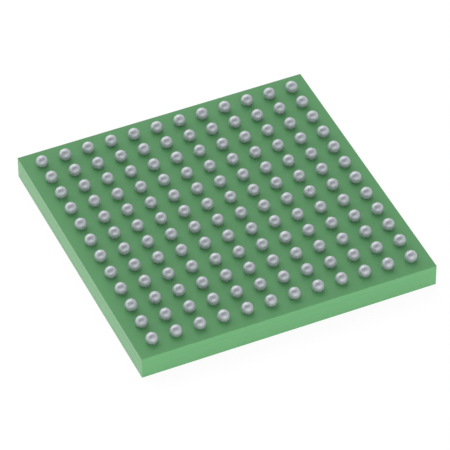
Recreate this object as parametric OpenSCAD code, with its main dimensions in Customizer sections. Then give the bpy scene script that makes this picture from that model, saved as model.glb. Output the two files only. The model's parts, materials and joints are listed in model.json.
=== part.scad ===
// Ball grid array chip in a laminate cavity package.
//
// A thin core laminate carries the solder balls on one face and the silicon die
// on the other. A window frame laminate is bonded round the die, and black epoxy
// fills the window flush with the frame.
//
// The chip lies on its filled face with the balls up. Z = 0 is that face and the
// origin is the centre of the body. Lengths are in millimetres.

/* [Body] */
// Side of the square body
body_w = 10; // [9.8:0.05:12]
// Thickness of the core laminate
core_t = 0.2; // [0.12:0.01:0.3]
// Thickness of the window frame laminate
frame_t = 0.465; // [0.42:0.005:0.7]
// Thickness of the film that bonds the frame to the core
film_t = 0.04; // [0.02:0.005:0.08]
// Thickness of each layer of solder resist
resist_t = 0.025; // [0.02:0.001:0.035]
// Thickness of each layer of copper
copper_t = 0.015; // [0.008:0.001:0.018]

/* [Window] */
// Side of the square window in the frame
window_w = 6.4; // [5.6:0.05:6.8]
// Corner radius of the window
window_r = 0.4; // [0.1:0.05:0.8]

/* [Ball grid] */
// Distance between the centres of neighbouring balls
pitch = 0.8; // [0.78:0.01:0.84]
// Diameter of a solder ball
ball_d = 0.4; // [0.39:0.01:0.46]
// Height of the balls above the solder resist
standoff = 0.32; // [0.28:0.01:0.33]
// Diameter of a ball's copper pad
pad_d = 0.4; // [0.36:0.01:0.46]
// Diameter of the resist opening over a pad
opening_d = 0.3; // [0.24:0.01:0.31]
// Diameter of a copper-filled via
via_d = 0.1; // [0.06:0.01:0.12]

/* [Die] */
// Side of the square die
die_w = 3.6; // [3.5:0.02:3.7]
// Thickness of the die
die_t = 0.2; // [0.1:0.01:0.24]
// Thickness of the adhesive film under the die
attach_t = 0.025; // [0.015:0.005:0.04]
// Distance between bond pads along the die's edge
die_pad_pitch = 0.095; // [0.09:0.001:0.098]
// Distance from the die's edge to the centres of its bond pads
die_pad_inset = 0.07; // [0.05:0.005:0.1]

/* [Die side copper] */
// Width of a copper trace
trace_w = 0.04; // [0.03:0.005:0.045]
// Distance between traces that run side by side between two lands
lane_pitch = 0.14; // [0.13:0.005:0.15]
// Length of a trace's straight run between two lands
lane_run = 0.06; // [0.04:0.01:0.08]
// Diameter of the land at a via
land_d = 0.2; // [0.16:0.01:0.22]
// Copper left round the inner vias by the paddle under the die
paddle_margin = 0.05; // [0.03:0.005:0.06]
// Distance from the paddle to the bond fingers
finger_gap = 0.08; // [0.06:0.005:0.1]
// Length of a bond finger
finger_l = 0.16; // [0.12:0.01:0.18]
// Width of a bond finger
finger_w = 0.08; // [0.06:0.005:0.09]
// Gap between the rows of fingers where two sides meet
finger_corner_gap = 0.03; // [0.02:0.005:0.04]
// Distance between neighbouring bond fingers
finger_pitch = 0.165; // [0.155:0.005:0.165]
// Bare margin of core between the bond fingers and the resist
shelf_margin = 0.05; // [0.03:0.01:0.08]

/* [Bond wires] */
// Diameter of the gold wire
wire_d = 0.025; // [0.02:0.001:0.03]
// Height of a signal wire's loop above the die
signal_loop_h = 0.15; // [0.12:0.005:0.16]
// Height of a ground wire's loop above the die
ground_loop_h = 0.1; // [0.08:0.005:0.11]
// Bend radius at the top of a loop
bend_r = 0.045; // [0.035:0.005:0.05]
// Diameter of the squashed ball on the die
bond_ball_d = 0.06; // [0.045:0.005:0.07]
// Height of the squashed ball on the die
bond_ball_h = 0.015; // [0.01:0.001:0.02]
// Length of the stitch at the wire's other end
stitch_l = 0.06; // [0.05:0.005:0.07]
// Width of the stitch
stitch_w = 0.04; // [0.035:0.005:0.05]
// Thickness of the stitch
stitch_t = 0.008; // [0.006:0.001:0.012]

/* [First ball mark] */
// Length of the mark's two short sides
mark_w = 0.5; // [0.3:0.05:0.8]
// Distance from the body's edges to the mark
mark_inset = 0.35; // [0.2:0.05:0.5]

/* [Hidden] */
$fn = 48;
// Balls along one side, and the half of them on one side of the centre line
grid_n = 12;
rings = grid_n / 2;
// Row letters of the grid skip i
row_letters = ["a", "b", "c", "d", "e", "f", "g", "h", "j", "k", "l", "m"];
sides = ["front", "right", "back", "left"];
signals_per_ground = 3;
// How far a cutter runs past the face that it opens
cut = 0.01;
// How far the straight runs of a wire reach into its bend, which is a touch thicker
weld = 0.002;
bend_swell = 1.05;

// Faces between the layers, from the filled face up to the tips of the balls
z_frame = resist_t;
z_film = z_frame + frame_t;
z_inner_resist = z_film + film_t;
z_core = z_inner_resist + resist_t;
z_outer_resist = z_core + core_t;
z_seat = z_outer_resist + resist_t;

// Face of the die side copper that the die and the wires stand on
z_shelf = z_core - copper_t;
die_face_h = attach_t + die_t;

// The paddle covers the vias of the inner half of the rings
paddle_w = 2 * (ring_y(rings / 2) + land_d / 2 + paddle_margin);
// Traces that pass the lands of the middle and the inner of the three outer rings
passing_middle = ring_count(rings);
passing_inner = passing_middle + ring_count(rings - 1);
finger_count = passing_inner + ring_count(rings - 2);
// Fingers clear the paddle, and the rows of two sides clear each other
finger_row = (finger_count - 1) * finger_pitch + finger_w;
finger_y = max(paddle_w / 2 + finger_gap, finger_row / 2 + finger_corner_gap);
shelf_w = 2 * (finger_y + finger_l + shelf_margin);

resist_green = [0.38, 0.59, 0.41];
laminate_green = [0.45, 0.69, 0.48];
copper = [0.80, 0.50, 0.33];
gold = [0.90, 0.74, 0.35];

// ---- Ball grid ----

// Distance of ring k of the grid from the centre lines, counted from the middle
function ring_y(k) = (k - 0.5) * pitch;
// Each side of ring k owns this many balls: all of its row but the last corner
function ring_count(k) = 2 * k - 1;
function ring_x(k, i) = i * pitch - ring_y(k);

module at_row(row) {
    for (column = [0 : grid_n - 1])
        translate([ring_x(rings, column), -ring_x(rings, row), 0]) children();
}

module at_every_ball() {
    for (row = [0 : grid_n - 1]) at_row(row) children();
}

// A reflowed ball: a sphere flattened where it sits on the resist, with a foot
// that fills the opening down to the pad.
module solder_ball() {
    foot_h = resist_t - copper_t;
    translate([0, 0, z_seat]) intersection() {
        translate([0, 0, standoff - ball_d / 2]) sphere(d = ball_d);
        translate([-ball_d, -ball_d, 0]) cube([2 * ball_d, 2 * ball_d, ball_d]);
    }
    translate([0, 0, z_seat - foot_h]) cylinder(d = opening_d, h = foot_h);
}

module ball_row(row) {
    color([0.72, 0.72, 0.76]) at_row(row) solder_ball();
}

// ---- Layers of the body ----

module layer(z, t) {
    translate([-body_w / 2, -body_w / 2, z]) cube([body_w, body_w, t]);
}

module rounded_square(w, r) {
    square([w - 2 * r, w], center = true);
    square([w, w - 2 * r], center = true);
    for (x = [-1, 1], y = [-1, 1])
        translate([x * (w / 2 - r), y * (w / 2 - r)]) circle(r = r);
}

module window(z, t) {
    translate([0, 0, z]) linear_extrude(height = t) rounded_square(window_w, window_r);
}

module shelf_opening(z, t) {
    translate([0, 0, z]) linear_extrude(height = t)
        rounded_square(shelf_w, shelf_margin);
}

module outer_resist() {
    color(resist_green) difference() {
        layer(z_outer_resist, resist_t);
        pad_discs();
        at_every_ball() translate([0, 0, z_outer_resist])
            cylinder(d = opening_d, h = resist_t + cut);
    }
}

module pad_discs() {
    at_every_ball() translate([0, 0, z_outer_resist]) cylinder(d = pad_d, h = copper_t);
}

module ball_pads() {
    color(copper) pad_discs();
}

module core_laminate() {
    color(laminate_green) difference() {
        layer(z_core, core_t);
        at_every_ball() translate([0, 0, z_core - cut])
            cylinder(d = via_d, h = core_t + 2 * cut);
    }
}

module vias() {
    color(copper) at_every_ball() translate([0, 0, z_core])
        cylinder(d = via_d, h = core_t);
}

module inner_resist() {
    color(resist_green) difference() {
        layer(z_inner_resist, resist_t);
        shelf_opening(z_inner_resist - cut, resist_t + 2 * cut);
        signal_copper();
    }
}

module bond_film() {
    color([0.52, 0.73, 0.54]) difference() {
        layer(z_film, film_t);
        window(z_film - cut, film_t + 2 * cut);
    }
}

module frame_laminate() {
    color(laminate_green) difference() {
        layer(z_frame, frame_t);
        window(z_frame - cut, frame_t + 2 * cut);
    }
}

module frame_resist() {
    color(resist_green) difference() {
        layer(0, resist_t);
        window(-cut, resist_t + 2 * cut);
        translate([0, 0, -cut]) linear_extrude(height = resist_t + 2 * cut) mark_outline();
    }
}

// Bare plated triangle beside ball A1
module mark_outline() {
    corner = body_w / 2 - mark_inset;
    polygon([[-corner, corner], [mark_w - corner, corner], [-corner, corner - mark_w]]);
}

module first_ball_mark() {
    color(gold) translate([0, 0, z_frame - copper_t])
        linear_extrude(height = copper_t) mark_outline();
}

// ---- Die side copper ----

// Traces fan out from the bond fingers to the three outer rings of vias. On each
// side they run from left to right in one order, so none crosses another: the
// traces to the outer rings pass between the lands of the rings inside them.

// How many of a side's passing traces lie left of the land in a ring, when they
// are spread evenly over the gaps after its lands
function left_of(land, ring, passing) =
    min(passing, ceil(passing * land / ring_count(ring)));
// The gap that a passing trace takes: gap g lies between lands g - 1 and g
function gap_of(trace, ring, passing) =
    1 + floor(trace * ring_count(ring) / passing);
// Where a passing trace crosses the row of lands
function lane_x(trace, ring, passing) =
    let (gap = gap_of(trace, ring, passing),
         first = left_of(gap - 1, ring, passing),
         count = left_of(gap, ring, passing) - first)
    ring_x(ring, gap) - pitch / 2 + (trace - first - (count - 1) / 2) * lane_pitch;
// The straight run through the row of lands
function lane(x, ring) =
    [[x, ring_y(ring) - lane_run / 2], [x, ring_y(ring) + lane_run / 2]];

function finger_x(finger) = (finger - (finger_count - 1) / 2) * finger_pitch;
function finger_end(finger) = [finger_x(finger), finger_y + finger_l - trace_w];

// Routes from a finger to a land, one function for each ring of lands
function inner_route(i) =
    [finger_end(i + left_of(i, rings - 2, passing_inner)),
     [ring_x(rings - 2, i), ring_y(rings - 2)]];
function route_past_inner(order) =
    concat([finger_end(order + gap_of(order, rings - 2, passing_inner))],
           lane(lane_x(order, rings - 2, passing_inner), rings - 2));
function middle_route(i) =
    concat(route_past_inner(i + left_of(i, rings - 1, passing_middle)),
           [[ring_x(rings - 1, i), ring_y(rings - 1)]]);
function outer_route(i) =
    concat(route_past_inner(i + gap_of(i, rings - 1, passing_middle)),
           lane(lane_x(i, rings - 1, passing_middle), rings - 1),
           [[ring_x(rings, i), ring_y(rings)]]);

// A strip of one width along a path, with mitred corners
function heading(path, i) = (path[i + 1] - path[i]) / norm(path[i + 1] - path[i]);
function edge_offset(path, i) =
    let (before = heading(path, max(i - 1, 0)),
         after = heading(path, min(i, len(path) - 2)),
         across = [before.y + after.y, -before.x - after.x])
    across * trace_w / (across * across);

module strip(path) {
    last = len(path) - 1;
    polygon(concat([for (i = [0 : last]) path[i] + edge_offset(path, i)],
                   [for (i = [last : -1 : 0]) path[i] - edge_offset(path, i)]));
}

// One net: a bond finger, its trace and the land on the via
module net(route) {
    translate([route[0].x - finger_w / 2, finger_y]) square([finger_w, finger_l]);
    strip(route);
    translate(route[len(route) - 1]) circle(d = land_d);
}

module side_nets() {
    for (i = [0 : ring_count(rings - 2) - 1]) net(inner_route(i));
    for (i = [0 : ring_count(rings - 1) - 1]) net(middle_route(i));
    for (i = [0 : ring_count(rings) - 1]) net(outer_route(i));
}

module signal_copper() {
    translate([0, 0, z_shelf]) linear_extrude(height = copper_t)
        for (turn = [0 : 90 : 270]) rotate(turn) side_nets();
}

module signal_traces() {
    color(copper) signal_copper();
}

module die_paddle() {
    color(copper) translate([-paddle_w / 2, -paddle_w / 2, z_shelf])
        cube([paddle_w, paddle_w, copper_t]);
}

// ---- Die and bond wires ----

module die_block(z, t) {
    translate([-die_w / 2, -die_w / 2, z]) cube([die_w, die_w, t]);
}

module die_attach() {
    color([0.83, 0.79, 0.66]) die_block(z_shelf - attach_t, attach_t);
}

module die() {
    color([0.36, 0.37, 0.42]) die_block(z_shelf - die_face_h, die_t);
}

// A wire from the die to the copper beside it, drawn with the copper at Z = 0, the
// die face at die_face_h and the run along X. It rises from its squashed ball,
// bends over and goes straight down at an angle to its stitch on the copper.
module wire_loop(span, loop_h) {
    r = wire_d / 2;
    bend_z = die_face_h + loop_h - bend_r;
    reach = norm([span - bend_r, bend_z]);
    dive = atan2(bend_z, span - bend_r) + asin(bend_r / reach);
    slope_l = sqrt(reach * reach - bend_r * bend_r);
    rise_h = bend_z - die_face_h + weld;

    translate([0, 0, die_face_h]) rotate_extrude()
        polygon([[0, 0], [bond_ball_d / 2, 0], [bond_ball_d / 2, bond_ball_h],
                 [r, bond_ball_h], [r, rise_h], [0, rise_h]]);
    translate([bend_r, 0, bend_z]) rotate([90, 0, 0]) rotate(90 - dive)
        rotate_extrude(angle = 90 + dive) translate([bend_r, 0]) circle(r = r * bend_swell);
    difference() {
        translate([bend_r, 0, bend_z]) rotate([0, 90 + dive, 0])
            translate([-bend_r, 0, -weld]) cylinder(r = r, h = slope_l + 2 * wire_d);
        translate([0, -wire_d, -die_face_h])
            cube([span + die_face_h, 2 * wire_d, die_face_h]);
    }
    translate([span - stitch_l / 2, -stitch_w / 2, 0]) cube([stitch_l, stitch_w, stitch_t]);
}

module wire_between(from, to, loop_h) {
    run = to - from;
    translate([from.x, from.y, z_shelf]) mirror([0, 0, 1])
        rotate(atan2(run.y, run.x)) wire_loop(norm(run), loop_h);
}

// Along each side of the die a ground wire follows every few signal wires. It
// lands on the paddle, in line with the gap between its neighbours' fingers.
module side_wires() {
    pads = finger_count * (signals_per_ground + 1) / signals_per_ground;
    pad_y = die_w / 2 - die_pad_inset;
    landing_y = finger_y + finger_l / 2;
    ground_y = (die_w + paddle_w) / 4;
    for (pad = [0 : pads - 1]) {
        group = floor(pad / (signals_per_ground + 1));
        place = pad % (signals_per_ground + 1);
        from = [(pad - (pads - 1) / 2) * die_pad_pitch, pad_y];
        finger = group * signals_per_ground + place;
        if (place < signals_per_ground) {
            wire_between(from, [finger_x(finger), landing_y], signal_loop_h);
        } else {
            to = [finger_x(finger - 0.5), landing_y];
            share = (ground_y - pad_y) / (landing_y - pad_y);
            wire_between(from, from + (to - from) * share, ground_loop_h);
        }
    }
}

module bond_wires(side) {
    color(gold) rotate(180 + 90 * side) side_wires();
}

// Epoxy that fills the window and covers the die, the wires and the bond shelf
module encapsulant() {
    color([0.12, 0.12, 0.13]) difference() {
        union() {
            window(0, z_inner_resist);
            shelf_opening(z_inner_resist, resist_t);
        }
        signal_copper();
        die_paddle();
        die_attach();
        die();
        for (side = [0 : 3]) bond_wires(side);
    }
}

outer_resist();
ball_pads();
core_laminate();
vias();
signal_traces();
die_paddle();
inner_resist();
bond_film();
frame_laminate();
frame_resist();
first_ball_mark();
die_attach();
die();
for (side = [0 : 3])
    bond_wires(side);
encapsulant();
for (row = [0 : grid_n - 1])
    ball_row(row);
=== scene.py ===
# Ball grid array chip, lying on its filled face with the solder balls up.
#
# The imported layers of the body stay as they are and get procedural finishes. The
# rows of solder balls are remade as smooth turned meshes. Lengths are in metres.

import json
import math

import bmesh
import bpy
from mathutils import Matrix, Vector


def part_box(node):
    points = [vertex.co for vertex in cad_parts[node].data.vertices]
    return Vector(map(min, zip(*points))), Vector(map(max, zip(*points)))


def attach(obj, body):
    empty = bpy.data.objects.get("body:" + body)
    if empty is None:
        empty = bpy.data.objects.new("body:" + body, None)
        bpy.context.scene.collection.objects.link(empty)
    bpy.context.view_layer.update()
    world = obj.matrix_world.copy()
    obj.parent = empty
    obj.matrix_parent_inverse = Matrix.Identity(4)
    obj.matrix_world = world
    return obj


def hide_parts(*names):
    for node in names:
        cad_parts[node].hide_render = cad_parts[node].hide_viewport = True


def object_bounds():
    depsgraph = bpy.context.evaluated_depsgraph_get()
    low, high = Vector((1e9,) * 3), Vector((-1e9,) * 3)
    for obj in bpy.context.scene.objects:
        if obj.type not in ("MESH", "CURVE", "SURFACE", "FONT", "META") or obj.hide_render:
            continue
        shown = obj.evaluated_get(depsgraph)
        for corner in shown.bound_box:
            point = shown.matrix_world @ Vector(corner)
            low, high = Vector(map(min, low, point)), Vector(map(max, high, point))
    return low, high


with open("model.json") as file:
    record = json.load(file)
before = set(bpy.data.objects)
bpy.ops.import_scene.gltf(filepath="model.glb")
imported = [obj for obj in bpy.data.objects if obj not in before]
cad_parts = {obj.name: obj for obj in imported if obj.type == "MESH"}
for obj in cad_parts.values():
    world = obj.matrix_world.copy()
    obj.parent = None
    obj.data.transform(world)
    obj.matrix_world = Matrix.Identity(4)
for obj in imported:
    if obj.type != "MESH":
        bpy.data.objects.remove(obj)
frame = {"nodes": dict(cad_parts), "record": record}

MM = 0.001
BODY = "root"
ROW_LETTERS = "abcdefghjklm"
BALLS_PER_ROW = 12

cad_low, cad_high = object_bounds()


# ---- Node helpers ----

def new_material(name):
    """A material with a Principled shader, as (material, nodes, links, shader)."""
    material = bpy.data.materials.new(name)
    material.use_nodes = True
    nodes = material.node_tree.nodes
    return material, nodes, material.node_tree.links, nodes["Principled BSDF"]


def grown(nodes, links, kind, **values):
    """A node of this kind, with its inputs set to values or linked to sockets."""
    node = nodes.new(kind)
    for name, value in values.items():
        socket = node.inputs[name.replace("_", " ")]
        if isinstance(value, bpy.types.NodeSocket):
            links.new(value, socket)
        else:
            socket.default_value = value
    return node


def reckoned(nodes, links, operation, first, second=0.0):
    """The result of a Math node on two numbers or sockets."""
    node = nodes.new("ShaderNodeMath")
    node.operation = operation
    for socket, value in zip(node.inputs, (first, second)):
        if isinstance(value, bpy.types.NodeSocket):
            links.new(value, socket)
        else:
            socket.default_value = value
    return node.outputs["Value"]


def object_place(nodes, links, stretch=(1, 1, 1)):
    """Object coordinates in millimetres, stretched along each axis."""
    coordinates = nodes.new("ShaderNodeTexCoord")
    mapping = grown(nodes, links, "ShaderNodeMapping",
                    Vector=coordinates.outputs["Object"],
                    Scale=[s / MM for s in stretch])
    return mapping.outputs["Vector"]


def noise(nodes, links, place, scale, detail=3.0, roughness=0.5):
    """Noise from 0 to 1 with this many waves to a millimetre, about."""
    node = grown(nodes, links, "ShaderNodeTexNoise", Vector=place, Scale=scale,
                 Detail=detail, Roughness=roughness)
    return node.outputs["Fac"]


def between(nodes, links, value, low, high):
    """value, which runs from 0 to 1, spread from low to high."""
    node = grown(nodes, links, "ShaderNodeMapRange", Value=value, To_Min=low, To_Max=high)
    return node.outputs["Result"]


def tint(nodes, links, value, dark, light, start=0.3, stop=0.7):
    """A colour that runs from dark to light as value goes from start to stop."""
    ramp = grown(nodes, links, "ShaderNodeValToRGB", Fac=value)
    ramp.color_ramp.elements[0].position = start
    ramp.color_ramp.elements[0].color = (*dark, 1)
    ramp.color_ramp.elements[1].position = stop
    ramp.color_ramp.elements[1].color = (*light, 1)
    return ramp.outputs["Color"]


def cut_and_side_light_or_face(nodes, links, cut_and_side_light_colour, face_colour):
    """The first colour on the upright sides of a layer and the second on its level faces, chosen
    by the way each face points; with the lighter laminate green on the sides, this is partly the
    paler sawn edge and partly painted side light.
    """
    coordinates = nodes.new("ShaderNodeTexCoord")
    parts = grown(nodes, links, "ShaderNodeSeparateXYZ", Vector=coordinates.outputs["Normal"])
    level = reckoned(nodes, links, "ABSOLUTE", parts.outputs["Z"])
    mix = grown(nodes, links, "ShaderNodeMixRGB", Fac=level,
                Color1=cut_and_side_light_colour, Color2=face_colour)
    return mix.outputs["Color"]


def shade(colour, factor):
    """The colour, lighter or darker by this factor."""
    return tuple(c * factor for c in colour)


def bumped(nodes, links, height, depth, strength):
    """A normal from height, whose full range is depth in metres."""
    node = grown(nodes, links, "ShaderNodeBump", Height=height, Distance=depth,
                 Strength=strength)
    return node.outputs["Normal"]


# ---- Materials ----

RESIST_GREEN = (0.102, 0.312, 0.122)
# The laminate green is the resist green made about 1.3 times lighter: partly the paler sawn
# laminate, and partly painted side light that makes the upright sides show lighter than the top.
LAMINATE_AND_SIDE_LIGHT_GREEN = (0.135, 0.405, 0.160)
COPPER = (0.80, 0.42, 0.27)
GOLD = (0.95, 0.68, 0.28)
LACQUER_GLOSS = 0.2


def solder_resist():
    """Satin green resist: levelled lacquer with a faint orange peel and clouding."""
    material, nodes, links, shader = new_material("solder_resist")
    shader.inputs["Specular IOR Level"].default_value = LACQUER_GLOSS
    place = object_place(nodes, links)
    clouds = noise(nodes, links, place, scale=0.9, detail=2.0)
    peel = noise(nodes, links, place, scale=6.0, detail=2.0)
    grain = noise(nodes, links, place, scale=60.0, detail=2.0)
    face = tint(nodes, links, clouds, shade(RESIST_GREEN, 0.98), shade(RESIST_GREEN, 1.02))
    # The upright edges of the resist take the lighter laminate green: partly the paler sawn
    # edge, partly painted side light.
    edge = tint(nodes, links, clouds, shade(LAMINATE_AND_SIDE_LIGHT_GREEN, 0.985), shade(LAMINATE_AND_SIDE_LIGHT_GREEN, 1.015))
    links.new(cut_and_side_light_or_face(nodes, links, edge, face), shader.inputs["Base Color"])
    links.new(between(nodes, links, grain, low=0.44, high=0.56), shader.inputs["Roughness"])
    links.new(bumped(nodes, links, peel, depth=0.002 * MM, strength=0.5),
              shader.inputs["Normal"])
    return material


def laminate(name, colour):
    """Sawn edge of glass cloth and resin: plies that lie flat, crossed by fine saw marks."""
    material, nodes, links, shader = new_material(name)
    flat = object_place(nodes, links, stretch=(0.6, 0.6, 9))
    upright = object_place(nodes, links, stretch=(14, 14, 1.5))
    plies = noise(nodes, links, flat, scale=1.6, detail=3.0)
    marks = noise(nodes, links, upright, scale=1.5, detail=2.0)
    links.new(tint(nodes, links, plies, shade(colour, 0.985), shade(colour, 1.015)),
              shader.inputs["Base Color"])
    links.new(between(nodes, links, marks, low=0.27, high=0.37), shader.inputs["Roughness"])
    links.new(bumped(nodes, links, marks, depth=0.0015 * MM, strength=0.5),
              shader.inputs["Normal"])
    return material


def epoxy():
    """Cured black epoxy with a fine mineral filler."""
    material, nodes, links, shader = new_material("epoxy")
    place = object_place(nodes, links)
    filler = noise(nodes, links, place, scale=45.0, detail=4.0, roughness=0.7)
    swells = noise(nodes, links, place, scale=0.7, detail=1.0)
    links.new(tint(nodes, links, filler, (0.011, 0.011, 0.012), (0.028, 0.028, 0.030)),
              shader.inputs["Base Color"])
    links.new(between(nodes, links, swells, low=0.42, high=0.58), shader.inputs["Roughness"])
    links.new(bumped(nodes, links, filler, depth=0.003 * MM, strength=0.6),
              shader.inputs["Normal"])
    return material


def metal(name, colour, smooth, rough, grain_scale, metallic=1.0):
    """Metal with a fine grain in its roughness, which runs from smooth to rough.

    metallic below 1 lets some plain colour show, as the balls in the photo do.
    """
    material, nodes, links, shader = new_material(name)
    shader.inputs["Metallic"].default_value = metallic
    grain = noise(nodes, links, object_place(nodes, links), scale=grain_scale)
    links.new(tint(nodes, links, grain, shade(colour, 0.96), shade(colour, 1.04)),
              shader.inputs["Base Color"])
    links.new(between(nodes, links, grain, smooth, rough), shader.inputs["Roughness"])
    links.new(bumped(nodes, links, grain, depth=0.0004 * MM, strength=0.5),
              shader.inputs["Normal"])
    return material


def cured_film():
    """Die attach film: matte and slightly mottled."""
    material, nodes, links, shader = new_material("die_attach")
    mottle = noise(nodes, links, object_place(nodes, links), scale=8.0)
    links.new(tint(nodes, links, mottle, (0.54, 0.48, 0.33), (0.64, 0.58, 0.42)),
              shader.inputs["Base Color"])
    links.new(between(nodes, links, mottle, low=0.5, high=0.65), shader.inputs["Roughness"])
    return material


def silicon():
    """Ground silicon: dark, with a steely gloss."""
    material, nodes, links, shader = new_material("silicon")
    grain = noise(nodes, links, object_place(nodes, links, stretch=(1, 20, 1)), scale=5.0)
    links.new(tint(nodes, links, grain, (0.10, 0.10, 0.14), (0.13, 0.13, 0.17)),
              shader.inputs["Base Color"])
    links.new(between(nodes, links, grain, low=0.22, high=0.32), shader.inputs["Roughness"])
    shader.inputs["Metallic"].default_value = 0.6
    return material


SOLDER = metal("solder", (0.437, 0.468, 0.497), smooth=0.30, rough=0.38, grain_scale=40.0,
               metallic=0.35)
FINISHES = {
    "solder_resist": solder_resist(),
    # The laminate and bond film take the lighter green, which is partly painted side light.
    "laminate": laminate("laminate", LAMINATE_AND_SIDE_LIGHT_GREEN),
    "bond_film": laminate("bond_film", shade(LAMINATE_AND_SIDE_LIGHT_GREEN, 1.01)),
    "copper": metal("copper", COPPER, smooth=0.28, rough=0.40, grain_scale=30.0),
    "gold_plate": metal("gold_plate", GOLD, smooth=0.30, rough=0.42, grain_scale=30.0),
    "gold_wire": metal("gold_wire", GOLD, smooth=0.16, rough=0.24, grain_scale=60.0),
    "solder": SOLDER,
    "silicon": silicon(),
    "die_attach": cured_film(),
    "epoxy": epoxy(),
}


def finish_cad_nodes():
    """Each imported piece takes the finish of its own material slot."""
    for part in frame["record"]["subparts"]:
        node = frame["nodes"][part["node"]]
        for holder in node.material_slots:
            holder.material = FINISHES[part["material_slot"]]


# ---- Solder balls ----

# Faces round a ball, and from its tip down to the resist
SEGMENTS = 40
RINGS = 22
# Radius of the foot, as a share of the radius where the ball sits on the resist
FOOT_SHARE = 0.94


def ball_profile(radius, seat, foot, top):
    """Half section of a ball, from its tip down to the foot in its opening."""
    centre = top - radius
    lowest = math.asin((seat - centre) / radius)
    arc = []
    for ring in range(RINGS + 1):
        angle = math.pi / 2 + (lowest - math.pi / 2) * ring / RINGS
        arc.append((radius * math.cos(angle), centre + radius * math.sin(angle)))
    neck = arc[-1][0] * FOOT_SHARE
    return arc + [(neck, seat), (neck, foot)]


def add_turned(mesh, x, y, profile):
    """Turns a half section about the upright line through x, y, and closes its foot."""
    tip = mesh.verts.new((x, y, profile[0][1]))
    rings = []
    for radius, z in profile[1:]:
        ring = []
        for s in range(SEGMENTS):
            turn = 2 * math.pi * s / SEGMENTS
            ring.append(mesh.verts.new((x + radius * math.cos(turn),
                                        y + radius * math.sin(turn), z)))
        rings.append(ring)
    for s in range(SEGMENTS):
        after = (s + 1) % SEGMENTS
        mesh.faces.new((tip, rings[0][s], rings[0][after]))
        for upper, lower in zip(rings, rings[1:]):
            mesh.faces.new((upper[s], lower[s], lower[after], upper[after]))
    mesh.faces.new(reversed(rings[-1]))


def solder_row(letter):
    """The balls of one row, in the place of the row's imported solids."""
    node = "ball_row_" + letter
    low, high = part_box(node)
    radius = (high.y - low.y) / 2
    first = low.x + radius
    pitch = (high.x - radius - first) / (BALLS_PER_ROW - 1)
    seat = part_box("outer_resist")[1].z
    profile = ball_profile(radius, seat, low.z, high.z)
    mesh = bmesh.new()
    for i in range(BALLS_PER_ROW):
        add_turned(mesh, first + i * pitch, (low.y + high.y) / 2, profile)
    data = bpy.data.meshes.new("solder_balls_" + letter)
    mesh.to_mesh(data)
    mesh.free()
    for face in data.polygons:
        under_the_foot = len(face.vertices) == SEGMENTS
        face.use_smooth = not under_the_foot
    row = bpy.data.objects.new("solder_balls_" + letter, data)
    bpy.context.scene.collection.objects.link(row)
    data.materials.append(SOLDER)
    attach(row, BODY)
    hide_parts(node)


# ---- Stage, light and camera ----

FLOOR_WIDTH = 1.0
FLOOR_DROP = 0.01 * MM
PAPER = 0.92
# Plain white in place of lit paper, where the floor is seen directly or in gloss
WHITE = 1.04
WHITE_SHARE = 0.88


def floor():
    """White floor that keeps a soft shadow and shows white in the metal."""
    bpy.ops.mesh.primitive_plane_add(size=FLOOR_WIDTH,
                                     location=(0, 0, cad_low[2] - FLOOR_DROP))
    plane = bpy.context.object
    plane.name = "floor"
    material = bpy.data.materials.new("floor")
    material.use_nodes = True
    nodes, links = material.node_tree.nodes, material.node_tree.links
    nodes.clear()
    output = nodes.new("ShaderNodeOutputMaterial")
    rays = nodes.new("ShaderNodeLightPath")
    seen = reckoned(nodes, links, "MAXIMUM",
                    rays.outputs["Is Camera Ray"], rays.outputs["Is Glossy Ray"])
    also = reckoned(nodes, links, "MAXIMUM", seen, rays.outputs["Is Transmission Ray"])
    share = reckoned(nodes, links, "MULTIPLY", also, WHITE_SHARE)
    paper = grown(nodes, links, "ShaderNodeBsdfDiffuse", Color=(PAPER, PAPER, PAPER, 1))
    white = grown(nodes, links, "ShaderNodeEmission", Color=(1, 1, 1, 1), Strength=WHITE)
    mix = grown(nodes, links, "ShaderNodeMixShader", Fac=share)
    links.new(paper.outputs["BSDF"], mix.inputs[1])
    links.new(white.outputs["Emission"], mix.inputs[2])
    links.new(mix.outputs["Shader"], output.inputs["Surface"])
    plane.data.materials.append(material)


# Brightness at the horizon and overhead, and how late it falls off between them
HORIZON = 1.17
ZENITH = 0.10
FALL = 2.5
# Soft boxes in the surroundings: azimuth from +X, elevation, brightness, tightness
BACK_BOX = (90, 45, 2.9, 8.0)
FRONT_BOX = (260, 10, 1.6, 4.0)
CORNER_BOX = (130, 15, 1.6, 14.0)
LEFT_BOX = (165, -5, 1.3, 12.0)
# A broad darker patch high on the left
DARK_PATCH = (175, 50, -0.9, 1.5)
SOFT_BOXES = (BACK_BOX, FRONT_BOX, CORNER_BOX, LEFT_BOX, DARK_PATCH)


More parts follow.
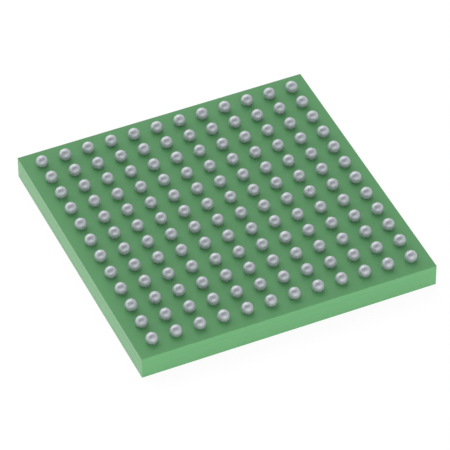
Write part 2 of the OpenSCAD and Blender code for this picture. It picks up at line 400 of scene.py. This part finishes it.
def surroundings():
    """Soft studio light: bright round the horizon and darker overhead, with soft boxes."""
    world = bpy.data.worlds.new("studio")
    bpy.context.scene.world = world
    world.use_nodes = True
    nodes, links = world.node_tree.nodes, world.node_tree.links
    coordinates = nodes.new("ShaderNodeTexCoord")
    direction = coordinates.outputs["Generated"]
    parts = grown(nodes, links, "ShaderNodeSeparateXYZ", Vector=direction)
    height = reckoned(nodes, links, "MAXIMUM", parts.outputs["Z"])
    height = reckoned(nodes, links, "POWER", height, FALL)
    level = between(nodes, links, height, HORIZON, ZENITH)
    for azimuth, elevation, brightness, tightness in SOFT_BOXES:
        turned = nodes.new("ShaderNodeVectorMath")
        turned.operation = "DOT_PRODUCT"
        links.new(direction, turned.inputs[0])
        turned.inputs[1].default_value = aim(azimuth, elevation)
        away = reckoned(nodes, links, "SUBTRACT", turned.outputs["Value"], 1.0)
        away = reckoned(nodes, links, "MULTIPLY", away, tightness)
        spread = reckoned(nodes, links, "EXPONENT", away)
        glow = reckoned(nodes, links, "MULTIPLY", spread, brightness)
        level = reckoned(nodes, links, "ADD", level, glow)
    background = nodes["Background"]
    background.inputs["Color"].default_value = (1, 1, 1, 1)
    level = reckoned(nodes, links, "MAXIMUM", level)
    links.new(level, background.inputs["Strength"])


def aim(azimuth, elevation):
    """Direction towards this azimuth from +X and this elevation, in degrees."""
    a, e = math.radians(azimuth), math.radians(elevation)
    return Vector((math.cos(e) * math.cos(a), math.cos(e) * math.sin(a), math.sin(e)))


# Turn from the front towards the left, and lift above the floor, in degrees
CAMERA_TURN = 24.3
CAMERA_LIFT = 43.13
CAMERA_DISTANCE = 124.0 * MM
CAMERA_TARGET = Vector((-0.241, -0.605, 0.792)) * MM
CAMERA_LENS = 315.4


def camera():
    """Long lens that looks down on the chip from its front left."""
    lens = bpy.data.cameras.new("camera")
    lens.lens = CAMERA_LENS
    lens.clip_start = 1 * MM
    lens.clip_end = 10.0
    holder = bpy.data.objects.new("camera", lens)
    bpy.context.scene.collection.objects.link(holder)
    turn, lift = math.radians(CAMERA_TURN), math.radians(CAMERA_LIFT)
    back = Vector((-math.cos(lift) * math.sin(turn), -math.cos(lift) * math.cos(turn),
                   math.sin(lift)))
    holder.location = CAMERA_TARGET + back * CAMERA_DISTANCE
    holder.rotation_euler = back.to_track_quat("Z", "Y").to_euler()
    bpy.context.scene.camera = holder


camera()
finish_cad_nodes()
for letter in ROW_LETTERS:
    solder_row(letter)
floor()
surroundings()
bpy.context.scene.view_settings.view_transform = "Standard"
